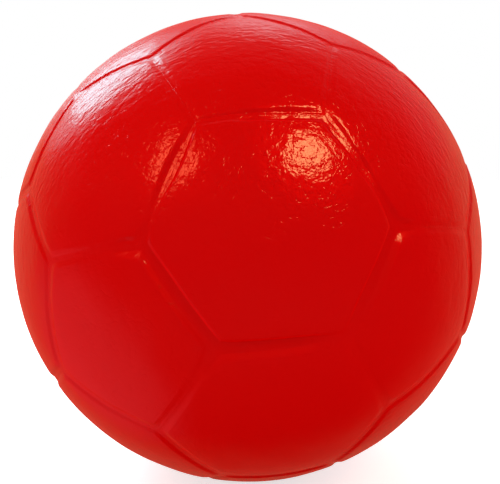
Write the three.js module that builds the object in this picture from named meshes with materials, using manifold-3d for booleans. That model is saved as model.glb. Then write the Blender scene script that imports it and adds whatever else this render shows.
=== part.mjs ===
// A foam football: a moulded foam core with a relief of 32 panels, under one seamless elastomer skin.
// Millimetres, +Z up, origin at the centre of the ball, front panel towards -Y.
import * as THREE from "three";
import { mergeVertices } from "three/addons/utils/BufferGeometryUtils.js";
import Module from "manifold-3d";

// Driving dimensions
const BALL_DIAMETER = 200; // over the crowns of the panels
const SKIN_THICKNESS = 1; // the coat is as thick in the grooves as on the panels
const BOND_LINE = 0.3; // between the inside of the skin and the foam
const GROOVE_DEPTH = 1.2; // from the crowns down to the floor of a groove
const GROOVE_FLOOR_WIDTH = 2.8; // flat strip along the middle of a groove
const GROOVE_WALL_WIDTH = 1.7; // each wall, seen from above
const RIM_DROP = 0.25; // the rim of a panel lies this far below its crown
const RIM_ROLL_WIDTH = 4; // strip in which the rim rolls over into the crown
const BREATHER_BORE = 2.4; // pin hole through the skin, by which the foam breathes

// How the ball lies: degrees turned about X, Y and Z from the axes of its pattern
const LIE = { x: 130.7, y: -47.25, z: -32.5 };

// The regular pattern: each corner of an icosahedron is cut off a third of the way along its edges
const CORNER_CUT = 1 / 3;
const SAME_CORNER = 0.01; // unit vectors nearer than this point to one corner

// Fineness of the facets
const STEPS_PER_SIDE = 3; // along each side of a panel
const CROWN_RINGS = 1; // rings between a panel's rolled rim and its middle
const BORE_SIDES = 24;

// Sizes that follow
const BALL_RADIUS = BALL_DIAMETER / 2;
const SKIN_INSIDE_RADIUS = BALL_RADIUS - SKIN_THICKNESS;
const CORE_RADIUS = SKIN_INSIDE_RADIUS - BOND_LINE;
const FLOOR_EDGE = GROOVE_FLOOR_WIDTH / 2;
const RIM = FLOOR_EDGE + GROOVE_WALL_WIDTH;
const CROWN_EDGE = RIM + RIM_ROLL_WIDTH;

// Section of half a groove: distance in from the seam, and drop below the crowns
const GROOVE_SECTION = [
  { inset: 0, drop: GROOVE_DEPTH },
  { inset: FLOOR_EDGE, drop: GROOVE_DEPTH },
  { inset: RIM, drop: RIM_DROP },
  { inset: CROWN_EDGE, drop: 0 },
];

const wasm = await Module();
wasm.setup();

const lie = new THREE.Euler(
  THREE.MathUtils.degToRad(LIE.x),
  THREE.MathUtils.degToRad(LIE.y),
  THREE.MathUtils.degToRad(LIE.z),
);

// Unit vectors to the corners of each face of an icosahedron, anticlockwise seen from outside
function icosahedronFaces() {
  const positions = new THREE.IcosahedronGeometry().attributes.position;
  const faces = [];
  for (let first = 0; first < positions.count; first += 3) {
    const corner = (step) => new THREE.Vector3().fromBufferAttribute(positions, first + step);
    faces.push([corner(0), corner(1), corner(2)]);
  }
  return faces;
}

// The point on an edge where the corner of the icosahedron is cut off
function cutPoint(from, to) {
  return from.clone().lerp(to, CORNER_CUT).normalize();
}

// A hexagon is what is left of a face when its three corners are cut off
function hexagonOutline([a, b, c]) {
  return [cutPoint(a, b), cutPoint(b, a), cutPoint(b, c), cutPoint(c, b), cutPoint(c, a), cutPoint(a, c)];
}

// A pentagon lies where a corner was, with one point on each of the five edges that met there
function pentagonOutline(corner, neighbours) {
  const across = neighbours[0].clone().projectOnPlane(corner).normalize();
  const along = new THREE.Vector3().crossVectors(corner, across);
  const turn = (point) => Math.atan2(point.dot(along), point.dot(across));
  const inOrder = neighbours.toSorted((one, other) => turn(one) - turn(other));
  return inOrder.map((neighbour) => cutPoint(corner, neighbour));
}

// A panel: its outline, the direction of its middle, and the angle from there to the middle of a side
function makePanel(outline) {
  const middle = new THREE.Vector3();
  outline.forEach((corner) => middle.add(corner));
  middle.normalize();
  const sideMiddle = outline[0].clone().add(outline[1]).normalize();
  return { outline, middle, apothem: middle.angleTo(sideMiddle) };
}

// The 20 hexagons and 12 pentagons of the pattern
function makePanels() {
  const faces = icosahedronFaces();
  const corners = [];
  for (const corner of faces.flat()) {
    const isKnown = corners.some((known) => known.distanceTo(corner) < SAME_CORNER);
    if (!isKnown) corners.push(corner);
  }
  const isNeighbour = (one, other) => one !== other && one.dot(other) > 0;
  const hexagons = faces.map((face) => makePanel(hexagonOutline(face)));
  const pentagons = corners.map((corner) => {
    const neighbours = corners.filter((other) => isNeighbour(corner, other));
    return makePanel(pentagonOutline(corner, neighbours));
  });
  return { hexagons, pentagons };
}

// Directions at even steps round the seam of a panel
function seamDirections(outline) {
  const directions = [];
  outline.forEach((corner, index) => {
    const next = outline[(index + 1) % outline.length];
    for (let step = 0; step < STEPS_PER_SIDE; step += 1) {
      directions.push(corner.clone().lerp(next, step / STEPS_PER_SIDE).normalize());
    }
  });
  return directions;
}

// The groove's section, continued over the crown by even steps to the middle of the panel
function panelSection(panel) {
  const halfWidth = panel.apothem * BALL_RADIUS;
  const section = [...GROOVE_SECTION];
  for (let ring = 1; ring <= CROWN_RINGS; ring += 1) {
    const inset = THREE.MathUtils.lerp(CROWN_EDGE, halfWidth, ring / (CROWN_RINGS + 1));
    section.push({ inset, drop: 0 });
  }
  return section;
}

// One ring of a panel: its seam, drawn in towards the middle by the inset and down by the drop
function panelRing(panel, seam, crownRadius, { inset, drop }) {
  const scale = Math.tan(panel.apothem - inset / BALL_RADIUS) / Math.tan(panel.apothem);
  return seam.map((direction) => {
    const onFlat = direction.clone().divideScalar(direction.dot(panel.middle));
    const drawnIn = panel.middle.clone().lerp(onFlat, scale);
    return drawnIn.setLength(crownRadius - drop);
  });
}

// The facets of a panel, ring by ring from the seam to the middle, as a list of corner points
function panelFacets(panel, crownRadius) {
  const seam = seamDirections(panel.outline);
  const rings = panelSection(panel).map((place) => panelRing(panel, seam, crownRadius, place));
  const top = panel.middle.clone().setLength(crownRadius);
  const facets = [];
  seam.forEach((_, index) => {
    const next = (index + 1) % seam.length;
    for (let ring = 1; ring < rings.length; ring += 1) {
      const outer = rings[ring - 1];
      const inner = rings[ring];
      facets.push(outer[index], outer[next], inner[next]);
      facets.push(outer[index], inner[next], inner[index]);
    }
    const last = rings[rings.length - 1];
    facets.push(last[index], last[next], top);
  });
  return facets;
}

// A closed panelled ball, with its crowns at the given radius
function panelledBall(panels, crownRadius) {
  const facets = panels.flatMap((panel) => panelFacets(panel, crownRadius));
  return mergeVertices(new THREE.BufferGeometry().setFromPoints(facets));
}

// A closed geometry as a solid that can be cut
function solidOf(geometry) {
  const bare = geometry.clone();
  bare.deleteAttribute("normal");
  bare.deleteAttribute("uv");
  const merged = mergeVertices(bare);
  const mesh = new wasm.Mesh({
    numProp: 3,
    vertProperties: merged.attributes.position.array,
    triVerts: new Uint32Array(merged.index.array),
  });
  return new wasm.Manifold(mesh);
}

// A cut solid as a geometry again
function geometryOf(solid) {
  const mesh = solid.getMesh();
  const geometry = new THREE.BufferGeometry();
  geometry.setAttribute("position", new THREE.BufferAttribute(mesh.vertProperties, mesh.numProp));
  geometry.setIndex(new THREE.BufferAttribute(mesh.triVerts, 1));
  return geometry;
}

// The pin that leaves the breather hole: from inside the skin to outside it, along a direction
function breatherPin(direction) {
  const length = 2 * (SKIN_THICKNESS + BOND_LINE);
  const radius = BREATHER_BORE / 2;
  const middle = direction.clone().setLength(BALL_RADIUS - SKIN_THICKNESS / 2);
  const upright = new THREE.Vector3(0, 1, 0);
  const pin = new THREE.CylinderGeometry(radius, radius, length, BORE_SIDES);
  pin.applyQuaternion(new THREE.Quaternion().setFromUnitVectors(upright, direction));
  return pin.translate(middle.x, middle.y, middle.z);
}

// The middle of the hexagon that lies furthest round the back of the ball
function backHexagonMiddle(hexagons) {
  const depth = (panel) => panel.middle.clone().applyEuler(lie).y;
  const [back] = hexagons.toSorted((one, other) => depth(other) - depth(one));
  return back.middle;
}

// The skin: a shell of even thickness with the relief inside and out, pierced by the breather hole
function makeSkin({ hexagons, pentagons }) {
  const panels = [...hexagons, ...pentagons];
  const outside = solidOf(panelledBall(panels, BALL_RADIUS));
  const inside = solidOf(panelledBall(panels, SKIN_INSIDE_RADIUS));
  const pin = solidOf(breatherPin(backHexagonMiddle(hexagons)));
  const material = new THREE.MeshStandardMaterial({ color: 0xc80a0a, roughness: 0.3, metalness: 0 });
  const skin = new THREE.Mesh(geometryOf(outside.subtract(inside).subtract(pin)), material);
  skin.name = "skin";
  return skin;
}

// The foam core: solid, moulded with the same relief as the skin that covers it
function makeCore({ hexagons, pentagons }) {
  const material = new THREE.MeshStandardMaterial({ color: 0xe8dcb4, roughness: 0.95, metalness: 0 });
  const core = new THREE.Mesh(panelledBall([...hexagons, ...pentagons], CORE_RADIUS), material);
  core.name = "foam_core";
  return core;
}

const panels = makePanels();
const ball = new THREE.Group();
ball.rotation.copy(lie);
ball.add(makeCore(panels), makeSkin(panels));

const part = new THREE.Group();
part.add(ball);

export default part;
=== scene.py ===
"""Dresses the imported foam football: its elastomer skin, its foam core and a plain studio.

Everything lies in the frame's axes: +Z up, origin at the centre of the ball, front panel towards -Y.
Sizes in the classes are millimetres unless a name says otherwise. Meshes and shaders are in metres.
"""

import itertools
import logging
import math
from dataclasses import dataclass
from enum import Enum

import bpy
import numpy as np
from mathutils import Euler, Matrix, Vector


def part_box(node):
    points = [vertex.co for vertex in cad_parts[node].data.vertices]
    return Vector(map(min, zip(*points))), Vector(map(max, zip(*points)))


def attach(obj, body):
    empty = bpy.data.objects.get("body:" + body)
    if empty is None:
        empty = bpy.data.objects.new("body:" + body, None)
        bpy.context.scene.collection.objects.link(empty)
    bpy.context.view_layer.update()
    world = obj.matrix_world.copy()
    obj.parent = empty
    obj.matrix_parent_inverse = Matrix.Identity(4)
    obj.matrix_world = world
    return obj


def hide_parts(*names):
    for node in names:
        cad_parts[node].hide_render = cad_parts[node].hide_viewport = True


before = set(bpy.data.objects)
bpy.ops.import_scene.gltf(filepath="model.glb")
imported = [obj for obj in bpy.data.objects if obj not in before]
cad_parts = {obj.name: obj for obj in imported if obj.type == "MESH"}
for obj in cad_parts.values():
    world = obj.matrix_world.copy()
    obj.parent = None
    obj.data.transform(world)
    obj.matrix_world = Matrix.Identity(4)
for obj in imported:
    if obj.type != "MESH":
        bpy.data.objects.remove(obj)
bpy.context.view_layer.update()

Pair = tuple[float, float]
Triple = tuple[float, float, float]

MM = 0.001  # metres in a millimetre
SAME_PLACE = 1e-8  # metres to which the places of vertices are told apart

# Mesh attribute in metres: X and Y go round a panel as a circle, and Z is the distance in from its seam
GROOVE_PLACE = "groove_place"

# Setting of a Map Range node that eases in and out. It goes from 0 to 1 where no other ends are given.
SMOOTH = {"interpolation_type": "SMOOTHSTEP"}

log = logging.getLogger("foam_football")


class PanelKind(Enum):
    """The two kinds of panel, by their number of sides."""

    PENTAGON = 5
    HEXAGON = 6


@dataclass(frozen=True)
class PhotoView:
    """How the photograph sees the ball."""

    size: tuple[int, int] = (500, 484)  # pixels
    ball_middle: Pair = (247.9, 246.7)  # pixels
    focal_length: float = 618.9  # pixels
    distance: float = 2.824  # from the ball's centre, in ball radii
    rise: float = 8.0  # degrees above the level


PHOTO = PhotoView()


def linear_colour(hex_colour: str) -> tuple[float, float, float, float]:
    """Turns an sRGB colour into the linear values that shaders take.

    Args:
        hex_colour: Colour written as "#RRGGBB".

    Returns:
        Linear red, green and blue, and an alpha of 1.
    """
    encoded = np.array([int(hex_colour[i:i + 2], 16) for i in (1, 3, 5)]) / 255
    linear = np.where(encoded <= 0.04045, encoded / 12.92, ((encoded + 0.055) / 1.055) ** 2.4)
    return (*linear.tolist(), 1.0)


def smooth_step(value: np.ndarray, start: float, end: float) -> np.ndarray:
    """Rises from 0 at start to 1 at end as 3t^2 - 2t^3, level at both ends.

    Args:
        value: Where to work it out.
        start: Value at which the step begins.
        end: Value at which the step is done.

    Returns:
        Array of the same shape, from 0 to 1.
    """
    t = np.clip((value - start) / (end - start), 0, 1)
    return t * t * (3 - 2 * t)


def unit(vectors: np.ndarray) -> np.ndarray:
    """Returns the vectors of the last axis at length 1."""
    return vectors / np.linalg.norm(vectors, axis=-1, keepdims=True)


def from_angles(turn: float, rise: float) -> np.ndarray:
    """Works out a direction from the ball's centre.

    Args:
        turn: Degrees round from the front, to the viewer's right.
        rise: Degrees above the level.

    Returns:
        Unit vector.
    """
    around, above = np.radians(turn), np.radians(rise)
    level = np.cos(above)
    return np.stack([np.sin(around) * level, -np.cos(around) * level, np.sin(above)], axis=-1)


def add_node(
    tree: bpy.types.NodeTree,
    kind: str,
    settings: dict[str, object] | None = None,
    inputs: dict[str | int, object] | None = None,
) -> bpy.types.Node:
    """Adds a node with its settings and links.

    Args:
        tree: Node tree that gets the node.
        kind: Blender's name for the type of node, less the ShaderNode that it starts with.
        settings: Properties of the node, by name.
        inputs: Input sockets by name or place, each with a value, or with the output socket or the node that
            feeds it. A node does so by its first output.

    Returns:
        The new node.
    """
    node = tree.nodes.new("ShaderNode" + kind)
    for name, value in (settings or {}).items():
        setattr(node, name, value)
    for key, value in (inputs or {}).items():
        source = value.outputs[0] if isinstance(value, bpy.types.Node) else value
        if isinstance(source, bpy.types.NodeSocket):
            tree.links.new(source, node.inputs[key])
        else:
            node.inputs[key].default_value = value
    return node


def new_material(name: str) -> bpy.types.Material:
    """Returns an empty node material of that name."""
    material = bpy.data.materials.new(name)
    material.use_nodes = True
    material.node_tree.nodes.clear()
    return material


class PhotoPlace(Enum):
    """A place on the ball that is read off the photograph: pixels from its left edge and from its top."""

    def direction(self) -> np.ndarray:
        """Works out where on the ball the place lies.

        The line of sight through the pixel meets the ball at the nearer root of a quadratic equation.

        Returns:
            Unit vector from the ball's centre.
        """
        across, down = (np.array(self.value) - PHOTO.ball_middle) / PHOTO.focal_length
        sight = np.array([across, -down, -1.0])
        square = sight @ sight
        near = (PHOTO.distance - math.sqrt(PHOTO.distance**2 - square * (PHOTO.distance**2 - 1))) / square
        right, up, outward = near * sight + (0, 0, PHOTO.distance)
        above = math.radians(PHOTO.rise)
        return unit(np.array([
            right,
            up * math.sin(above) - outward * math.cos(above),
            up * math.cos(above) + outward * math.sin(above),
        ]))

    def mirrored(self) -> np.ndarray:
        """Works out what the smooth ball mirrors at the place.

        Returns:
            Unit vector from the ball towards what is seen there.
        """
        normal = self.direction()
        sight = unit(normal - PHOTO.distance * from_angles(0, PHOTO.rise))
        return sight - 2 * (sight @ normal) * normal


class PanelMiddle(PhotoPlace):
    """Middle of the panel at the front."""

    FRONT = (270.0, 231.0)


class PanelCorner(PhotoPlace):
    """Corners of the panels that are seen: those of the front panel first, then the others round it."""

    FRONT_TOP_LEFT = (195.5, 121.0)
    FRONT_TOP_RIGHT = (325.0, 114.0)
    FRONT_RIGHT = (397.5, 226.5)
    FRONT_LOW_RIGHT = (345.5, 335.0)
    FRONT_LOW_LEFT = (216.5, 349.5)
    FRONT_LEFT = (142.0, 243.5)
    TOP = (237.5, 14.5)
    UPPER_RIGHT = (332.0, 45.0)
    FAR_UPPER_RIGHT = (402.5, 73.0)
    FAR_RIGHT = (467.0, 229.0)
    FAR_RIGHT_BELOW = (462.0, 333.0)
    LOWER_RIGHT = (387.0, 407.0)
    LOWER_LEFT = (158.5, 430.0)
    FAR_LEFT_BELOW = (61.5, 370.0)
    FAR_LEFT = (50.0, 261.0)
    FAR_LEFT_ABOVE = (29.0, 187.0)
    FAR_UPPER_LEFT = (77.0, 94.5)
    UPPER_LEFT = (151.0, 57.0)


class CoatPool(PhotoPlace):
    """Places where the wet coat ran together and fills the groove."""

    LEFT = (150.0, 218.0)
    LEFT_ABOVE = (194.0, 118.0)
    TOP_LEFT = (224.0, 108.0)
    TOP = (262.0, 95.0)
    TOP_RIGHT = (300.0, 93.0)
    TOP_RIGHT_CORNER = (329.0, 103.0)
    RIGHT_ABOVE = (364.0, 140.0)
    RIGHT = (389.0, 180.0)
    LOW_RIGHT = (347.0, 336.0)
    LOWER_LEFT = (177.0, 402.0)
    FAR_UPPER_LEFT = (74.4, 89.5)
    FAR_UPPER_LEFT_BELOW = (75.3, 92.7)
    TOP_EDGE = (235.5, 13.3)
    UPPER_RIGHT_EDGE = (394.0, 64.5)


class CreaseMiddle(PhotoPlace):
    """Middles of the thin creases in the coat."""

    LEFT = (233.0, 113.5)
    RIGHT = (298.0, 111.0)


class LampGlow(PhotoPlace):
    """Places where the ball mirrors the lit cloth of an umbrella."""

    LEFT = (174.0, 159.0)
    RIGHT = (308.0, 152.0)


@dataclass(frozen=True)
class SprayedElastomer:
    """Polyurethane elastomer sprayed over foam.

    It dries to a glossy film that shrinks a little, so the eye sees sharp lamp reflections broken up by
    fine leathery wrinkles, over a deep red that is even all round.
    """

    name: str = "polyurethane elastomer, sprayed red"
    colour: str = "#C80000"
    ior: float = 1.58
    roughness: float = 0.1
    sheen: float = 1.0  # at a low angle the pigment in the film shows as red, not as white
    sheen_roughness: float = 0.7
    sheen_colour: str = "#FF0000"
    dent: float = 2.6  # size of the soft dents
    dent_depth: float = 0.26  # at the top
    low_dent_depth: float = 0.08  # and at the bottom, where the coat hung smooth as it dried
    low_to_top: Pair = (-30.0, 60.0)  # heights from the ball's middle between which that changes
    ring_width: float = 1.7  # round the side the dents are drawn out into rings, as on a ball that was spun
    ring_length: float = 4.5
    ring_share: float = 1.2  # of the depth of the other dents, at the top
    low_ring_share: float = 2.6  # and at the bottom
    ring_reach: Pair = (55.0, 85.0)  # distances in front of or behind the ball's middle at which they fade
    wrinkle: float = 4.0  # distance in which the wrinkle pattern changes
    wrinkle_line: float = 0.045  # width of a wrinkle, as a share of the pattern's range
    wrinkle_depth: float = 0.035
    patch: float = 7.0  # size of the patches that are wrinkled or not
    patch_edge: Pair = (0.42, 0.6)  # values of the patches' pattern between which the wrinkles set in
    streak: float = 0.8  # spacing of the wrinkles that run along a groove
    streak_length: float = 9.0
    streak_reach: float = 14.0  # they fade out this far from the seam
    streak_depth: float = 0.07

    def dents(
        self, tree: bpy.types.NodeTree, place: bpy.types.NodeSocket, at_ends: bpy.types.Node,
    ) -> bpy.types.Node:
        """Builds the soft dents.

        They are a noise. Round the side it gives way to rings, a noise that is squeezed along Y. The depths
        of both change with a smooth step of the height.

        Args:
            tree: Node tree of the material.
            place: Socket with the place on the ball.
            at_ends: Node that gives 1 at the front and back of the ball, and 0 round its side.

        Returns:
            Node that gives the height in metres.
        """
        axes = add_node(tree, "SeparateXYZ", {}, {0: place})
        low, top = (height * MM for height in self.low_to_top)
        depth = add_node(tree, "MapRange", SMOOTH, {
            "Value": axes.outputs["Z"], "From Min": low, "From Max": top,
            "To Min": self.low_dent_depth * MM, "To Max": self.dent_depth * MM,
        })
        ring_share = add_node(tree, "MapRange", SMOOTH, {
            "Value": axes.outputs["Z"], "From Min": low, "From Max": top,
            "To Min": self.low_ring_share, "To Max": self.ring_share,
        })
        dents = add_node(tree, "TexNoise", {}, {
            "Vector": place, "Scale": 1 / (self.dent * MM),
            "Detail": 2.0, "Roughness": 0.6, "Distortion": 0.3,
        })
        squeezed = add_node(tree, "VectorMath", {"operation": "MULTIPLY"}, {
            0: place,
            1: (1 / (self.ring_length * MM), 1 / (self.ring_width * MM), 1 / (self.ring_length * MM)),
        })
        rings = add_node(tree, "TexNoise", {}, {
            "Vector": squeezed, "Scale": 1.0,
            "Detail": 2.0, "Roughness": 0.55, "Distortion": 0.5,
        })
        ringed = add_node(tree, "Math", {"operation": "MULTIPLY"}, {0: rings, 1: ring_share})
        either = add_node(tree, "Mix", {"data_type": "FLOAT"}, {0: at_ends, 2: ringed, 3: dents})
        return add_node(tree, "Math", {"operation": "MULTIPLY"}, {0: either, 1: depth})

    def wrinkles(
        self, tree: bpy.types.NodeTree, place: bpy.types.NodeSocket, at_ends: bpy.types.Node,
    ) -> bpy.types.Node:
        """Builds the fine wrinkles at the front and back.

        They are thin valleys where a noise crosses its middle value, kept only in the patches of another
        noise.

        Args:
            tree: Node tree of the material.
            place: Socket with the place on the ball.
            at_ends: Node that gives 1 at the front and back of the ball, and 0 round its side.

        Returns:
            Node that gives the height in metres.
        """
        noise = add_node(tree, "TexNoise", {}, {
            "Vector": place, "Scale": 1 / (self.wrinkle * MM),
            "Detail": 2.0, "Roughness": 0.5, "Distortion": 0.7,
        })
        off_middle = add_node(tree, "Math", {"operation": "SUBTRACT"}, {0: noise, 1: 0.5})
        distance = add_node(tree, "Math", {"operation": "ABSOLUTE"}, {0: off_middle})
        valleys = add_node(tree, "MapRange", SMOOTH, {
            "Value": distance, "From Max": self.wrinkle_line,
            "To Min": -self.wrinkle_depth * MM, "To Max": 0.0,
        })
        patches = add_node(tree, "TexNoise", {}, {
            "Vector": place, "Scale": 1 / (self.patch * MM), "Detail": 1.0,
        })
        in_patch = add_node(tree, "MapRange", SMOOTH, {
            "Value": patches, "From Min": self.patch_edge[0], "From Max": self.patch_edge[1],
        })
        strength = add_node(tree, "Math", {"operation": "MULTIPLY"}, {0: in_patch, 1: at_ends})
        return add_node(tree, "Math", {"operation": "MULTIPLY"}, {0: valleys, 1: strength})

    def streaks(self, tree: bpy.types.NodeTree) -> bpy.types.Node:
        """Builds the wrinkles that run along the grooves.

        They are a noise that is drawn out along the groove, and fades away from it in a smooth step.

        Args:
            tree: Node tree of the material.

        Returns:
            Node that gives the height in metres.
        """
        groove = add_node(tree, "Attribute", {"attribute_name": GROOVE_PLACE})
        drawn_out = add_node(tree, "VectorMath", {"operation": "MULTIPLY"}, {
            0: groove.outputs["Vector"],
            1: (1 / (self.streak_length * MM), 1 / (self.streak_length * MM), 1 / (self.streak * MM)),
        })
        noise = add_node(tree, "TexNoise", {}, {"Vector": drawn_out, "Scale": 1.0, "Detail": 2.0})
        seam = add_node(tree, "SeparateXYZ", {}, {0: groove.outputs["Vector"]})
        depth = add_node(tree, "MapRange", SMOOTH, {
            "Value": seam.outputs["Z"], "From Max": self.streak_reach * MM,
            "To Min": self.streak_depth * MM, "To Max": 0.0,
        })
        return add_node(tree, "Math", {"operation": "MULTIPLY"}, {0: noise, 1: depth})

    def height(self, tree: bpy.types.NodeTree) -> bpy.types.Node:
        """Builds the relief that is too fine for the mesh: the sum of dents, wrinkles and streaks.

        Args:
            tree: Node tree of the material.

        Returns:
            Node that gives the height in metres.
        """
        place = add_node(tree, "TexCoord").outputs["Object"]
        axes = add_node(tree, "SeparateXYZ", {}, {0: place})
        off_side = add_node(tree, "Math", {"operation": "ABSOLUTE"}, {0: axes.outputs["Y"]})
        at_ends = add_node(tree, "MapRange", SMOOTH, {
            "Value": off_side,
            "From Min": self.ring_reach[0] * MM, "From Max": self.ring_reach[1] * MM,
        })
        crumpled = add_node(tree, "Math", {"operation": "ADD"}, {
            0: self.dents(tree, place, at_ends), 1: self.wrinkles(tree, place, at_ends),
        })
        return add_node(tree, "Math", {"operation": "ADD"}, {0: self.streaks(tree), 1: crumpled})

    def material(self) -> bpy.types.Material:
        """Returns the material with its relief."""
        material = new_material(self.name)
        tree = material.node_tree
        bump = add_node(tree, "Bump", {}, {
            "Strength": 1.0, "Distance": 1.0, "Height": self.height(tree),
        })
        shader = add_node(tree, "BsdfPrincipled", {}, {
            "Base Color": linear_colour(self.colour), "Roughness": self.roughness, "IOR": self.ior,
            "Sheen Weight": self.sheen, "Sheen Roughness": self.sheen_roughness,
            "Sheen Tint": linear_colour(self.sheen_colour), "Normal": bump,
        })
        add_node(tree, "OutputMaterial", {}, {"Surface": shader})
        return material


@dataclass(frozen=True)
class MouldedFoam:
    """Flexible polyurethane foam, moulded: cream and matt, with fine open cells sunk as pits, whose middles
    are painted darker as shade.
    """

    name: str = "polyurethane foam, moulded cream"
    colour: str = "#E8DCB4"
    # painted shade: the darker colour that the middles of the pits are given, where shade falls in them
    pit_shade_colour: str = "#B39A62"
    ior: float = 1.45
    roughness: float = 0.95
    cell: float = 0.9  # spacing of the open cells
    cell_depth: float = 0.3
    pit_wall: Pair = (0.1, 0.55)  # foot and top of a pit's wall, in cell spacings from its middle

    def material(self) -> bpy.types.Material:
        """Returns the material, with pits round the middle of each cell of a Voronoi pattern, sunk by a bump
        and painted darker towards their middles as shade.
        """
        material = new_material(self.name)
        tree = material.node_tree
        place = add_node(tree, "TexCoord").outputs["Object"]
        cells = add_node(tree, "TexVoronoi", {"feature": "F1"}, {
            "Vector": place, "Scale": 1 / (self.cell * MM), "Randomness": 1.0,
        })
        wall = add_node(tree, "MapRange", SMOOTH, {
            "Value": cells.outputs["Distance"], "From Min": self.pit_wall[0], "From Max": self.pit_wall[1],
        })
        # painted shade: the same smooth step that sinks each pit also darkens its colour towards its middle
        colour = add_node(tree, "Mix", {"data_type": "RGBA"}, {
            0: wall, 6: linear_colour(self.pit_shade_colour), 7: linear_colour(self.colour),
        })
        bump = add_node(tree, "Bump", {}, {
            "Strength": 1.0, "Distance": self.cell_depth * MM, "Height": wall,
        })
        shader = add_node(tree, "BsdfPrincipled", {}, {
            "Base Color": colour.outputs[2], "Roughness": self.roughness, "IOR": self.ior,
            "Normal": bump,
        })
        add_node(tree, "OutputMaterial", {}, {"Surface": shader})
        return material


@dataclass
class Surface:
    """A mesh in the making.

    Attributes:
        points: Vertices, in metres.
        faces: Arrays of vertex numbers, one row to a face, anticlockwise seen from outside.
        groove_place: For each vertex, its place for the attribute of that name.
        rim: Vertex numbers round the breather hole, where there is one.
    """

    points: np.ndarray
    faces: list[np.ndarray]
    groove_place: np.ndarray
    rim: np.ndarray

    def merged(self) -> "Surface":
        """Returns the surface with vertices at one place made into one."""
        places = np.round(self.points / SAME_PLACE).astype(np.int64)
        _, first, number = np.unique(places, axis=0, return_index=True, return_inverse=True)
        number = number.ravel()
        return Surface(
            self.points[first],
            [number[face] for face in self.faces],
            self.groove_place[first],
            number[self.rim],
        )

    def lined(self, lining: "Surface") -> "Surface":
        """Joins this outside to a lining along their rims, so that the two enclose a wall.

        Args:
            lining: Surface inside this one, with a rim of as many vertices.

        Returns:
            The closed surface of the wall.
        """
        start = len(self.points)
        inner = lining.rim + start
        band = np.stack([self.rim, np.roll(self.rim, -1), np.roll(inner, -1), inner], axis=1)
        turned = [face[:, ::-1] + start for face in lining.faces]
        return Surface(
            np.concatenate([self.points, lining.points]),
            [*self.faces, *turned, band],
            np.concatenate([self.groove_place, lining.groove_place]),
            self.rim,
        )

    def piece(self, name: str, material: bpy.types.Material) -> bpy.types.Object:
        """Puts the surface into the scene as a smooth mesh.

        Args:
            name: Name of the object and its mesh.
            material: Material of every face.

        Returns:
            The object, at the origin.
        """
        corners = np.concatenate([face.ravel() for face in self.faces]).astype(np.int32)
        sides = np.concatenate([np.full(len(face), face.shape[1]) for face in self.faces]).astype(np.int32)
        starts = np.concatenate([[0], np.cumsum(sides)[:-1]]).astype(np.int32)
        mesh = bpy.data.meshes.new(name)
        mesh.vertices.add(len(self.points))
        mesh.vertices.foreach_set("co", self.points.astype(np.float32).ravel())
        mesh.loops.add(len(corners))
        mesh.loops.foreach_set("vertex_index", corners)
        mesh.polygons.add(len(sides))
        mesh.polygons.foreach_set("loop_start", starts)
        mesh.polygons.foreach_set("use_smooth", np.ones(len(sides), dtype=bool))
        place = mesh.attributes.new(GROOVE_PLACE, "FLOAT_VECTOR", "POINT")
        place.data.foreach_set("vector", self.groove_place.astype(np.float32).ravel())
        mesh.update(calc_edges=True)
        mesh.validate()
        mesh.materials.append(material)
        piece = bpy.data.objects.new(name, mesh)
        bpy.context.scene.collection.objects.link(piece)
        return piece


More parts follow.
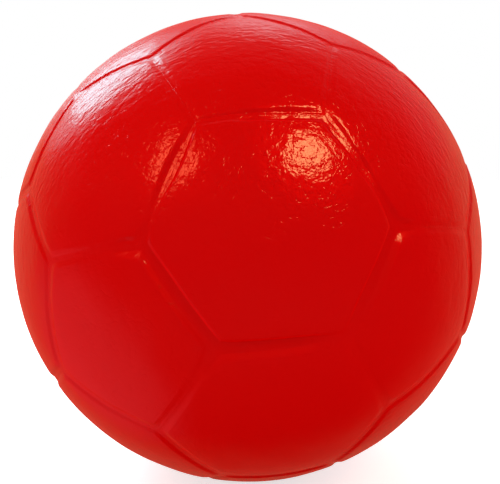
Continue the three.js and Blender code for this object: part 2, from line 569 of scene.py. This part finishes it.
@dataclass(frozen=True)
class PanelPattern:
    """The 12 pentagons and 20 hexagons of a football, turned as the ball lies."""

    lie: Triple = (130.7, -47.25, -32.5)  # degrees about X, Y and Z from the pattern's axes
    corner_cut: float = 1 / 3  # share of an icosahedron's edge that is cut off at each end
    seen_within: float = 6.6  # degrees from a regular place to where it is seen, at most

    def icosahedron(self) -> np.ndarray:
        """Returns the corners (0, 1, golden ratio), with all signs and cyclic turns, as unit vectors."""
        golden = (1 + math.sqrt(5)) / 2
        signs = np.array(list(itertools.product((-1, 1), repeat=2)))
        upright = np.column_stack([np.zeros(4), signs[:, 0], golden * signs[:, 1]])
        return unit(np.concatenate([np.roll(upright, turn, axis=1) for turn in range(3)]))

    def outlines(self, kind: PanelKind) -> np.ndarray:
        """Works out the corners of all panels of a kind.

        A hexagon is what is left of an icosahedron's face when its corners are cut off. A pentagon lies
        where a corner was, with one point on each of the five edges that met there.

        Args:
            kind: Which panels.

        Returns:
            Unit vectors of shape (panels, sides, 3), anticlockwise seen from outside.
        """
        corners = self.icosahedron()
        closeness = corners @ corners.T
        if kind is PanelKind.HEXAGON:
            near = closeness > 0
            triples = itertools.combinations(range(len(corners)), 3)
            faces = corners[[triple for triple in triples if near[np.ix_(triple, triple)].all()]]
            clockwise = np.linalg.det(faces) < 0
            faces[clockwise] = faces[clockwise][:, ::-1]
            start, end = faces[:, [0, 1, 1, 2, 2, 0]], faces[:, [1, 0, 2, 1, 0, 2]]
        else:
            start = corners[:, None]
            end = corners[np.argsort(-closeness, axis=1)[:, 1:6]]
            first = end[:, :1]
            across = unit(first - (first * start).sum(-1, keepdims=True) * start)
            along = np.cross(start, across)
            turn = np.arctan2((end * along).sum(-1), (end * across).sum(-1))
            end = np.take_along_axis(end, np.argsort(turn, axis=1)[..., None], axis=1)
        turned = np.array(Euler([math.radians(angle) for angle in self.lie], "ZYX").to_matrix())
        return self.settled(unit(start + self.corner_cut * (end - start)) @ turned.T)

    def settled(self, corners: np.ndarray) -> np.ndarray:
        """Moves corners of the regular pattern to where they are seen.

        Args:
            corners: Unit vectors, on the last axis.

        Returns:
            Unit vectors, of the same shape. A corner that isn't seen stays.
        """
        seen = np.array([corner.direction() for corner in PanelCorner])
        closeness = corners @ seen.T
        is_seen = closeness.max(-1, keepdims=True) > math.cos(math.radians(self.seen_within))
        return np.where(is_seen, seen[closeness.argmax(-1)], corners)

    def is_front(self, middles: np.ndarray) -> np.ndarray:
        """Returns whether each panel, given by the direction of its middle, is the one at the front."""
        return middles @ PanelMiddle.FRONT.direction() > math.cos(math.radians(self.seen_within))


@dataclass(frozen=True)
class GrooveSection:
    """Section of the groove between two panels: a flat floor, two soft walls and rolled rims."""

    depth: float = 1.45
    floor_width: float = 3.1
    wall_width: float = 1.9
    low_wall_width: float = 2.5  # on the lower half, where the coat sagged into the grooves as it dried
    low_walls: Pair = (10.0, 28.0)  # heights above the ball's middle between which that changes
    front_wall_width: float = 1.3  # the front panel's edge came out of the mould sharper than the others
    rim_drop: float = 0.15
    rim_roll_width: float = 3.5
    corner_blend: float = 0.8  # rounds the corners of the panels

    @property
    def crown_edge(self) -> float:
        """Distance from the seam at which the crown of a panel begins."""
        return self.floor_width / 2 + self.low_wall_width + self.rim_roll_width

    def nearest(self, distances: np.ndarray) -> np.ndarray:
        """Blends the distances to a panel's sides into one, by the logarithm of a sum of exponentials.

        Args:
            distances: Distances to each side, on the last axis.

        Returns:
            About the least of them, and rather less near a corner.
        """
        return -self.corner_blend * np.log(np.exp(-distances / self.corner_blend).sum(-1))

    def drop(self, distance: np.ndarray, is_front: np.ndarray, height: np.ndarray) -> np.ndarray:
        """Works out how far the surface lies below the crown.

        It is the sum of two smooth steps that begin at the edge of the floor: a high one up the wall, and a
        low one that rolls over the rim on to the crown.

        Args:
            distance: Distance from the seam, of shape (panels, points).
            is_front: For each panel, whether it is the one at the front.
            height: Height above the ball's middle, of the shape of distance.

        Returns:
            Drop, of the shape of distance.
        """
        floor_edge = self.floor_width / 2
        upper = smooth_step(height, *self.low_walls)
        outer_width = self.low_wall_width + (self.wall_width - self.low_wall_width) * upper
        wall_width = np.where(is_front[:, None], self.front_wall_width, outer_width)
        wall = smooth_step(distance, floor_edge, floor_edge + wall_width)
        roll = smooth_step(distance, floor_edge, self.crown_edge)
        return (self.depth - self.rim_drop) * (1 - wall) + self.rim_drop * (1 - roll)


@dataclass(frozen=True)
class CoatCrease:
    """Thin crease that the shrinking coat leaves along some grooves, above the middle of their floors."""

    depth: float = 0.16
    width: float = 0.7
    lift: float = 1.0  # it runs this much higher up the ball than the groove
    reach: float = 15.0  # it fades out this far from the middle of its length

    def drop(self, seam: np.ndarray, points: np.ndarray) -> np.ndarray:
        """Works out how deep the crease is.

        It is a bell curve across the crease, times one along it from the nearest middle.

        Args:
            seam: Distance from the line of the crease.
            points: Places on the ball in millimetres, on the last axis.

        Returns:
            Drop, of the shape of seam.
        """
        directions = np.array([middle.direction() for middle in CreaseMiddle])
        middles = directions * np.linalg.norm(points[..., :1, :], axis=-1).mean()
        away = np.linalg.norm(points[..., None, :] - middles, axis=-1).min(-1)
        return self.depth * np.exp(-(away / self.reach) ** 2 - (2 * seam / self.width) ** 2)


@dataclass(frozen=True)
class CoatFill:
    """How far the coat fills the grooves: least round the front panel, and most just outside it."""

    open_within: float = 25.0  # degrees from the middle of the front panel
    filled_from: float = 29.0
    filled_to: float = 42.0
    even_from: float = 55.0
    filled_share: float = 0.81
    even_share: float = 0.52
    narrowing: float = 1.6  # millimetres that a filled groove loses on each side
    pool_reach: float = 5.2  # degrees
    pool_share: float = 0.9

    def at(self, directions: np.ndarray) -> np.ndarray:
        """Works out the share of the groove's depth that is filled.

        It changes in two smooth steps with the distance from the front panel, and is raised by a bell curve
        round each pool.

        Args:
            directions: Unit vectors, on the last axis.

        Returns:
            Share at each place.
        """
        angle = np.degrees(np.arccos(np.clip(directions @ PanelMiddle.FRONT.direction(), -1, 1)))
        filled = self.filled_share * smooth_step(angle, self.open_within, self.filled_from)
        filled -= (self.filled_share - self.even_share) * smooth_step(angle, self.filled_to, self.even_from)
        pools = np.array([pool.direction() for pool in CoatPool])
        away = np.degrees(np.arccos(np.clip(directions @ pools.T, -1, 1))).min(-1)
        return np.maximum(filled, self.pool_share * np.exp(-(away / self.pool_reach) ** 2))


@dataclass(frozen=True)
class Unevenness:
    """Soft swells that the mould and the shrinking coat leave in the surface."""

    seed: int = 5
    waves: int = 48
    height: float = 0.05
    shortest: float = 9.0
    longest: float = 34.0

    def at(self, points: np.ndarray) -> np.ndarray:
        """Adds up sine waves of seeded direction, length and phase, each as high as it is long.

        Args:
            points: Places in millimetres, on the last axis.

        Returns:
            Height in millimetres at each place.
        """
        chance = np.random.default_rng(self.seed)
        direction = unit(chance.normal(size=(self.waves, 3)))
        length = np.exp(chance.uniform(math.log(self.shortest), math.log(self.longest), self.waves))
        phase = chance.uniform(0, 2 * math.pi, self.waves)
        share = length / np.linalg.norm(length)
        swing = np.sin(points @ (direction * (2 * math.pi / length)[:, None]).T + phase)
        return self.height * math.sqrt(2) * (swing @ share)


@dataclass(frozen=True)
class SeamWander:
    """How the seams of the hand-finished mould wander sideways from the regular pattern."""

    seed: int = 11
    waves: int = 24
    reach: float = 0.08
    shortest: float = 14.0
    longest: float = 60.0

    def at(self, points: np.ndarray) -> np.ndarray:
        """Works out three uneven fields, one for each axis.

        Args:
            points: Places in millimetres, on the last axis.

        Returns:
            Shift in millimetres at each place, of the same shape.
        """
        fields = [
            Unevenness(self.seed + axis, self.waves, self.reach, self.shortest, self.longest)
            for axis in range(3)
        ]
        return np.stack([each.at(points) for each in fields], axis=-1)


@dataclass(frozen=True)
class PanelledBall:
    """A ball with the relief of a football, on a grid of rings and steps round each panel."""

    radius: float  # over the crowns of the ball's outside, which all the distances are measured on
    steps_per_side: int
    seam_step: float  # spacing of the rings that are nearest to the seam
    groove_step: float  # and from there to the crown
    crown_step: float  # and on the crown
    seam_reach: float = 2.4  # distance from the seam at which the finest rings end
    hole_radius: float = 1.2  # of the breather hole
    round_to_sided: Pair = (0.25, 0.75)  # shares of the panel's size between which a ring gains corners
    pattern: PanelPattern = PanelPattern()
    groove: GrooveSection = GrooveSection()
    unevenness: Unevenness = Unevenness()
    wander: SeamWander = SeamWander()
    spread: Unevenness = Unevenness(seed=5375, waves=24, height=0.2, shortest=30.0, longest=90.0)
    fill: CoatFill = CoatFill()
    crease: CoatCrease | None = None

    def ring_insets(self, apothem: float) -> np.ndarray:
        """Spaces the rings of a panel.

        Args:
            apothem: Distance from the middle of a panel to a side.

        Returns:
            Distance of each ring from the seam. The last lies a hole's radius from the middle.
        """
        bounds = (0.0, self.seam_reach, self.groove.crown_edge, apothem - self.hole_radius)
        steps = (self.seam_step, self.groove_step, self.crown_step)
        stretches = [
            np.linspace(start, end, math.ceil((end - start) / step), endpoint=False)
            for start, end, step in zip(bounds, bounds[1:], steps)
        ]
        return np.append(np.concatenate(stretches), bounds[-1])

    def seam_distances(self, directions: np.ndarray) -> tuple[np.ndarray, np.ndarray]:
        """Measures how far points lie from the nearest seam.

        A point lies in the panel whose least distance to its sides is the greatest of all.

        Args:
            directions: Unit vectors, on the last axis.

        Returns:
            The true distance, and one that rounds the corners of the panels.
        """
        sharp = np.full(directions.shape[:-1], -np.inf)
        rounded = sharp.copy()
        for kind in PanelKind:
            outlines = self.pattern.outlines(kind)
            for sides in unit(np.cross(outlines, np.roll(outlines, -1, axis=1))):
                to_sides = self.radius * np.arcsin(directions @ sides.T)
                sharp = np.maximum(sharp, to_sides.min(-1))
                rounded = np.maximum(rounded, self.groove.nearest(to_sides))
        return sharp, rounded

    def directions(self, outlines: np.ndarray) -> np.ndarray:
        """Spreads the grid over panels.

        Each panel is drawn on the plane that touches the ball at its middle, where its sides are straight.
        A ring is the outline shrunk towards the middle, and turns from the outline's shape into a circle on
        the way in.

        Args:
            outlines: Corners of the panels.

        Returns:
            Unit vectors of shape (panels, rings, steps, 3).
        """
        middle = unit(outlines.sum(1))[:, None]
        share = (np.arange(self.steps_per_side) / self.steps_per_side)[:, None]
        next_corner = np.roll(outlines, -1, axis=1)
        seam = outlines[:, :, None] + share * (next_corner - outlines)[:, :, None]
        seam = seam.reshape(len(outlines), -1, 3)
        outward = seam / (seam * middle).sum(-1, keepdims=True) - middle
        slope = np.linalg.norm(outward, axis=-1).min()
        apothem = math.atan(slope)
        insets = self.ring_insets(apothem * self.radius)
        size = (np.tan(apothem - insets / self.radius) / slope)[:, None, None]
        circle = unit(outward) * slope
        shape = circle[:, None] + smooth_step(size, *self.round_to_sided) * (outward - circle)[:, None]
        return unit(middle[:, None] + size * shape)

    def relief(
        self, directions: np.ndarray, is_front: np.ndarray, crown_radius: float,
    ) -> tuple[np.ndarray, np.ndarray]:
        """Works out how far the surface lies from the ball's centre.

        It is the radius of the crowns with their swells, less the drop of the groove as far as the coat
        leaves it open, and less the drop of the crease.

        Args:
            directions: Unit vectors of shape (panels, points, 3).
            is_front: For each panel, whether it is the one at the front.
            crown_radius: Radius over the crowns.

        Returns:
            Radius of each point, and its distance from the seam.
        """
        on_ball = directions * self.radius
        wandered = on_ball + self.wander.at(on_ball)
        seam, groove = self.seam_distances(unit(wandered))
        fill = self.fill.at(directions)
        narrowed = groove + self.spread.at(on_ball) + self.fill.narrowing * fill
        drop = (1 - fill) * self.groove.drop(narrowed, is_front, on_ball[..., 2])
        height = crown_radius + self.unevenness.at(on_ball) - drop
        if self.crease:
            crease, _ = self.seam_distances(unit(wandered - (0, 0, self.crease.lift)))
            height -= self.crease.drop(crease, on_ball)
        return height, seam

    def groove_places(
        self, outlines: np.ndarray, distance: np.ndarray, rings: int, steps: int,
    ) -> np.ndarray:
        """Works out where points lie along the groove round their panel.

        The way round is wound into a circle as long as the panel's seam, so that it has no start.

        Args:
            outlines: Corners of the panels.
            distance: Distance of each point from its seam, of shape (panels, points).
            rings: Number of rings.
            steps: Number of steps round.

        Returns:
            Vectors in metres, of shape (all points, 3).
        """
        side = self.radius * math.acos(outlines[0, 0] @ outlines[0, 1])
        round_radius = side * outlines.shape[1] / (2 * math.pi)
        angle = np.append(np.tile(2 * math.pi * np.arange(steps) / steps, rings), 0)
        circle = round_radius * np.stack([np.cos(angle), np.sin(angle)], axis=-1)
        circle = np.broadcast_to(circle, (*distance.shape, 2))
        return (np.concatenate([circle, distance[..., None]], axis=-1) * MM).reshape(-1, 3)

    def surface(self, crown_radius: float, has_hole: bool) -> Surface:
        """Builds the whole ball, or a ball inside it with the same relief.

        Args:
            crown_radius: Radius over the crowns.
            has_hole: Whether the breather hole is open, in the middle of the hexagon furthest to the back.

        Returns:
            The surface, facing outward.
        """
        points, places, faces, rim, count = [], [], [], np.zeros(0, int), 0
        for kind in PanelKind:
            outlines = self.pattern.outlines(kind)
            middles = unit(outlines.sum(1))
            grid = self.directions(outlines)
            panels, rings, steps, _ = grid.shape
            directions = np.concatenate([grid.reshape(panels, -1, 3), middles[:, None]], axis=1)
            height, seam = self.relief(directions, self.pattern.is_front(middles), crown_radius)
            points.append((height[..., None] * directions * MM).reshape(-1, 3))
            places.append(self.groove_places(outlines, seam, rings, steps))

            corner = np.arange(rings * steps).reshape(rings, steps)
            following = np.roll(corner, -1, axis=1)
            quads = np.stack([corner[:-1], following[:-1], following[1:], corner[1:]], axis=-1)
            middle = np.full(steps, rings * steps)
            fans = np.stack([corner[-1], following[-1], middle], axis=-1)
            firsts = count + np.arange(panels) * (rings * steps + 1)
            is_open = np.zeros(panels, bool)
            if has_hole and kind is PanelKind.HEXAGON:
                is_open[middles[:, 1].argmax()] = True
                rim = firsts[is_open] + corner[-1]
            faces.append((firsts[:, None, None] + quads.reshape(-1, 4)).reshape(-1, 4))
            faces.append((firsts[~is_open, None, None] + fans).reshape(-1, 3))
            count += panels * (rings * steps + 1)
        return Surface(np.concatenate(points), faces, np.concatenate(places), rim).merged()


@dataclass(frozen=True)
class BallSkin:
    """The seamless coat over the foam: relief inside and out, and a breather hole at the back."""

    thickness: float = 1.0
    finish: SprayedElastomer = SprayedElastomer()

    def build(self, radius: float) -> bpy.types.Object:
        """Builds and dresses the skin.

        Args:
            radius: Radius of the ball over its crowns.

        Returns:
            The piece.
        """
        outside = PanelledBall(
            radius, steps_per_side=20, seam_step=0.2, groove_step=0.42, crown_step=2.0, crease=CoatCrease(),
        )
        lining = PanelledBall(radius, steps_per_side=20, seam_step=1.0, groove_step=1.4, crown_step=10.0)
        inside = lining.surface(radius - self.thickness, has_hole=True)
        wall = outside.surface(radius, has_hole=True).lined(inside)
        piece = wall.piece("ball_skin", self.finish.material())
        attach(piece, "root")
        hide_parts("skin")
        return piece


@dataclass(frozen=True)
class FoamCore:
    """The solid foam ball under the skin, with the same relief."""

    finish: MouldedFoam = MouldedFoam()

    def build(self, radius: float, ball_radius: float) -> bpy.types.Object:
        """Builds and dresses the core.

        Args:
            radius: Radius of the core over its crowns.
            ball_radius: Radius of the whole ball over its crowns.

        Returns:
            The piece.
        """
        grid = PanelledBall(ball_radius, steps_per_side=12, seam_step=0.8, groove_step=0.8, crown_step=4.0)
        piece = grid.surface(radius, has_hole=False).piece("ball_core", self.finish.material())
        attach(piece, "root")
        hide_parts("foam_core")
        return piece


@dataclass(frozen=True)
class SoftLamp:
    """A lamp behind a round diffuser that faces the ball: a bright core, and a halo that fades to its edge.

    Attributes:
        name: Name of the lamp.
        turn: Degrees round the ball from the front, to the viewer's right.
        rise: Degrees above the floor.
        distance: From the ball's centre, in metres.
        width: Of the whole diffuser, in metres.
        core: Share of the width that is bright.
        radiance: Brightness of the core, where 1 is white paper under the studio's light.
        colour: Colour of the light.
        halo: Brightness of the halo, as a share of the core's.
        core_edge: Where the core begins to fade and where it has faded, in radii of the core.
    """

    name: str
    turn: float
    rise: float
    distance: float
    width: float
    core: float
    radiance: float
    colour: str
    halo: float
    core_edge: Pair = (0.8, 1.2)

    def build(self) -> bpy.types.Object:
        """Puts the lamp in place.

        An evenly lit disc sends out its radiance times pi times its area. The core ends in a steep smooth
        step of the distance from the middle, and the halo in a long one. On the disc the middle lies at a
        half each way, and the edge a half from there.

        Returns:
            The lamp.
        """
        light = bpy.data.lights.new(self.name, "AREA")
        light.shape = "DISK"
        light.size = self.width
        light.energy = self.radiance * math.pi * (math.pi / 4 * self.width**2)
        light.use_nodes = True
        tree = light.node_tree
        tree.nodes.clear()
        edge = 0.5
        core_start, core_end = (edge * self.core * radii for radii in self.core_edge)
        place = add_node(tree, "NewGeometry")
        from_middle = add_node(tree, "VectorMath", {"operation": "DISTANCE"}, {
            0: place.outputs["Parametric"], 1: (edge, edge, 0.0),
        })
        halo = add_node(tree, "MapRange", SMOOTH, {
            "Value": from_middle.outputs["Value"], "From Min": edge * self.core, "From Max": edge,
            "To Min": self.halo, "To Max": 0.0,
        })
        strength = add_node(tree, "MapRange", SMOOTH, {
            "Value": from_middle.outputs["Value"], "From Min": core_start, "From Max": core_end,
            "To Min": 1.0, "To Max": halo,
        })
        glow = add_node(tree, "Emission", {}, {
            "Color": linear_colour(self.colour), "Strength": strength,
        })
        add_node(tree, "OutputLight", {}, {"Surface": glow})
        lamp = bpy.data.objects.new(self.name, light)
        lamp.location = Vector(from_angles(self.turn, self.rise) * self.distance)
        lamp.rotation_euler = (-lamp.location).to_track_quat("-Z", "Y").to_euler()
        bpy.context.scene.collection.objects.link(lamp)
        return lamp


@dataclass(frozen=True)
class Surroundings:
    """What lies round the ball: even soft light, and a studio that only reflections see.

    A brightness is red, green and blue, as it is reflected. A range of Y or Z gives the values of a
    direction's Y or Z, from -1 to 1, between which something sets in.
    """

    ambient: float = 1.045
    ambient_tilt: Triple = (-0.15, 0.34, -0.38)  # more light from the left, from behind and from below
    sweep: Triple = (0.58, 0.55, 0.32)  # brightness of the backdrop
    sweep_above: Triple = (0.58, 0.47, 0.46)  # and of its upper part, which is pinker
    sweep_beside: float = 0.25  # share of it to the ball's sides
    sweep_below: float = 0.55  # share of it that is left underneath
    beside: Pair = (-0.1, 0.45)  # range of Y
    behind: Pair = (0.3, 1.0)  # range of Y
    level: Pair = (-0.5, 0.05)  # range of Z
    overhead: Pair = (0.1, 0.5)  # range of Z
    ceiling: Triple = (0.35, 0.02, 0.01)  # brightness of the ceiling
    patch: Triple = (0.55, 0.15, 0.17)  # brightness of the lit floor to the left
    patch_way: Triple = (-0.807, 0.094, -0.583)  # direction of its middle
    patch_edge: Pair = (0.74, 0.98)  # cosines of the angle from there between which it sets in
    glow_left: Triple = (0.8, 0.0, 0.0)  # brightness of the cloth round each umbrella's lamp
    glow_right: Triple = (2.4, 0.0, 0.0)
    glow_reach: Pair = (10.0, 26.0)  # degrees from the lamp at which it begins to fade and has faded

    def room(self, tree: bpy.types.NodeTree, way: bpy.types.NodeSocket) -> bpy.types.Node:
        """Builds the backdrop, the lit floor and the ceiling, of which the brightest shows.

        The backdrop brightens in a smooth step at the ball's sides, and from there evenly to the back. It is
        dimmer underneath and pinker above. Floor and ceiling set in by smooth steps of the direction.

        Args:
            tree: Node tree of the world.
            way: Socket with the direction.

        Returns:
            Node that gives the brightness.
        """
        axes = add_node(tree, "SeparateXYZ", {}, {0: way})
        beside = add_node(tree, "MapRange", SMOOTH, {
            "Value": axes.outputs["Y"], "From Min": self.beside[0], "From Max": self.beside[1],
            "To Max": self.sweep_beside,
        })
        behind = add_node(tree, "MapRange", {}, {
            "Value": axes.outputs["Y"], "From Min": self.behind[0], "From Max": self.behind[1],
            "To Min": beside,
        })
        level = add_node(tree, "MapRange", SMOOTH, {
            "Value": axes.outputs["Z"], "From Min": self.level[0], "From Max": self.level[1],
            "To Min": self.sweep_below,
        })
        overhead = add_node(tree, "MapRange", SMOOTH, {
            "Value": axes.outputs["Z"], "From Min": self.overhead[0], "From Max": self.overhead[1],
        })
        strength = add_node(tree, "Math", {"operation": "MULTIPLY"}, {0: behind, 1: level})
        hue = add_node(tree, "Mix", {"data_type": "VECTOR"}, {
            0: overhead, 4: self.sweep, 5: self.sweep_above,
        })
        sweep = add_node(tree, "VectorMath", {"operation": "SCALE"}, {
            0: hue.outputs[1], "Scale": strength,
        })
        towards_patch = add_node(tree, "VectorMath", {"operation": "DOT_PRODUCT"}, {
            0: way, 1: self.patch_way,
        })
        in_patch = add_node(tree, "MapRange", SMOOTH, {
            "Value": towards_patch.outputs["Value"],
            "From Min": self.patch_edge[0], "From Max": self.patch_edge[1],
        })
        brightest = sweep
        for brightness, share in ((self.patch, in_patch), (self.ceiling, overhead)):
            lit = add_node(tree, "VectorMath", {"operation": "SCALE"}, {0: brightness, "Scale": share})
            brightest = add_node(tree, "VectorMath", {"operation": "MAXIMUM"}, {0: brightest, 1: lit})
        return brightest

    def reflected(self, tree: bpy.types.NodeTree, way: bpy.types.NodeSocket) -> bpy.types.Node:
        """Builds all that reflections see: the room, and the umbrellas' cloth added to it.

        Args:
            tree: Node tree of the world.
            way: Socket with the direction.

        Returns:
            Node that gives the brightness.
        """
        brightness = self.room(tree, way)
        near, far = (math.cos(math.radians(angle)) for angle in self.glow_reach)
        for place, glow in ((LampGlow.LEFT, self.glow_left), (LampGlow.RIGHT, self.glow_right)):
            towards = add_node(tree, "VectorMath", {"operation": "DOT_PRODUCT"}, {
                0: way, 1: tuple(place.mirrored()),
            })
            share = add_node(tree, "MapRange", SMOOTH, {
                "Value": towards.outputs["Value"], "From Min": far, "From Max": near,
            })
            brightness = add_node(tree, "VectorMath", {"operation": "MULTIPLY_ADD"}, {
                0: glow, 1: share, 2: brightness,
            })
        return brightness

    def build(self) -> None:
        """Builds the world.

        The camera sees white, reflections see the studio, and all else gets the soft light.
        """
        world = bpy.data.worlds.new("studio")
        world.use_nodes = True
        tree = world.node_tree
        tree.nodes.clear()
        path = add_node(tree, "LightPath")
        way = add_node(tree, "TexCoord").outputs["Generated"]
        tilt = add_node(tree, "VectorMath", {"operation": "DOT_PRODUCT"}, {0: way, 1: self.ambient_tilt})
        soft = add_node(tree, "Math", {"operation": "ADD"}, {0: tilt.outputs["Value"], 1: self.ambient})
        unseen = add_node(tree, "Mix", {"data_type": "RGBA"}, {
            0: path.outputs["Is Glossy Ray"], 6: soft, 7: self.reflected(tree, way),
        })
        seen = add_node(tree, "Math", {"operation": "MAXIMUM"}, {
            0: path.outputs["Is Camera Ray"], 1: path.outputs["Is Transmission Ray"],
        })
        colour = add_node(tree, "Mix", {"data_type": "RGBA"}, {
            0: seen, 6: unseen.outputs[2], 7: (1.0, 1.0, 1.0, 1.0),
        })
        background = add_node(tree, "Background", {}, {"Color": colour.outputs[2], "Strength": 1.0})
        add_node(tree, "OutputWorld", {}, {"Surface": background})
        bpy.context.scene.world = world


@dataclass(frozen=True)
class Studio:
    """A plain pale studio, with the camera of the photograph."""

    floor_width: float = 8.0  # metres
    floor_colour: str = "#ECECEC"
    floor_white: float = 0.65  # light that the camera alone sees, which takes the lit floor to white
    nearest_seen: float = 0.01  # metres from the camera
    surroundings: Surroundings = Surroundings()
    lamps: tuple[SoftLamp, ...] = (
        SoftLamp("umbrella_left", -39.0, 41.0, 0.8, 0.22, 0.83, 7.2, "#FF8058", 0.0),
        SoftLamp("umbrella_right", 34.6, 44.9, 0.8, 0.26, 0.83, 11.0, "#F0C886", 0.0),
        SoftLamp("window_left", -133.0, 39.0, 1.2, 1.2, 0.45, 8.0, "#90F4FF", 0.22),
        SoftLamp("window_low", -160.0, 13.0, 1.2, 0.7, 0.5, 1.8, "#70F4FF", 0.5),
        SoftLamp("top_back", 173.0, 45.0, 1.2, 0.9, 0.4, 1.4, "#B8F6FF", 0.5),
    )

    def build(self, radius: float) -> None:
        """Builds camera, floor, surroundings and lamps.

        Args:
            radius: Radius in metres of the ball, which stands on the floor.
        """
        self.build_camera(radius)
        self.build_floor(radius)
        self.surroundings.build()
        for lamp in self.lamps:
            lamp.build()

    def build_camera(self, radius: float) -> None:
        """Sets up the camera at the photograph's angle and distance.

        Args:
            radius: Radius of the ball in metres.
        """
        camera = bpy.data.cameras.new("camera")
        camera.lens = camera.sensor_width * PHOTO.focal_length / PHOTO.size[0]
        camera.clip_start = self.nearest_seen
        stand = bpy.data.objects.new("camera", camera)
        outward = Vector(from_angles(0, PHOTO.rise))
        right = Vector((1, 0, 0))
        distance = radius * PHOTO.distance
        off_middle = (np.array(PHOTO.size) / 2 - PHOTO.ball_middle) / PHOTO.focal_length * distance
        target = right * off_middle[0] - outward.cross(right) * off_middle[1]
        stand.location = outward * distance
        stand.rotation_euler = (target - stand.location).to_track_quat("-Z", "Y").to_euler()
        bpy.context.scene.collection.objects.link(stand)
        bpy.context.scene.camera = stand

    def build_floor(self, radius: float) -> None:
        """Lays the floor under the ball.

        Args:
            radius: Radius of the ball in metres.
        """
        half = self.floor_width / 2
        mesh = bpy.data.meshes.new("floor")
        mesh.from_pydata(
            [(x, y, -radius) for x, y in ((-half, -half), (half, -half), (half, half), (-half, half))],
            [], [(0, 1, 2, 3)],
        )
        mesh.materials.append(self.floor_material())
        floor = bpy.data.objects.new("floor", mesh)
        bpy.context.scene.collection.objects.link(floor)

    def floor_material(self) -> bpy.types.Material:
        """Returns matt paper that the camera sees as white but for the shadow.

        Reflections see through it to the backdrop, and so does the camera from below.
        """
        material = new_material("paper, matt white")
        tree = material.node_tree
        path = add_node(tree, "LightPath")
        paper = add_node(tree, "BsdfDiffuse", {}, {"Color": linear_colour(self.floor_colour)})
        glow = add_node(tree, "Emission", {}, {"Strength": self.floor_white})
        lit = add_node(tree, "AddShader", {}, {0: paper, 1: glow})
        seen = add_node(tree, "MixShader", {}, {0: path.outputs["Is Camera Ray"], 1: paper, 2: lit})
        clear = add_node(tree, "BsdfTransparent")
        side = add_node(tree, "NewGeometry")
        passes = add_node(tree, "Math", {"operation": "MAXIMUM"}, {
            0: side.outputs["Backfacing"], 1: path.outputs["Is Glossy Ray"],
        })
        both = add_node(tree, "MixShader", {}, {0: passes, 1: seen, 2: clear})
        add_node(tree, "OutputMaterial", {}, {"Surface": both})
        return material


def node_radius(node: str) -> float:
    """Returns the radius of a ball in the frame, in millimetres, by its height."""
    low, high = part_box(node)
    return (high.z - low.z) / 2 / MM


def main() -> None:
    """Builds the ball and the studio."""
    logging.basicConfig(level=logging.INFO, format="%(name)s: %(message)s")
    ball_radius = node_radius("skin")
    core = FoamCore().build(node_radius("foam_core"), ball_radius)
    skin = BallSkin().build(ball_radius)
    for piece in (core, skin):
        mesh = piece.data
        log.info("%s: %d vertices, %d faces", piece.name, len(mesh.vertices), len(mesh.polygons))
    Studio().build(ball_radius * MM)
    bpy.context.scene.view_settings.view_transform = "Standard"
    bpy.context.view_layer.update()


if __name__ == "__main__":
    main()
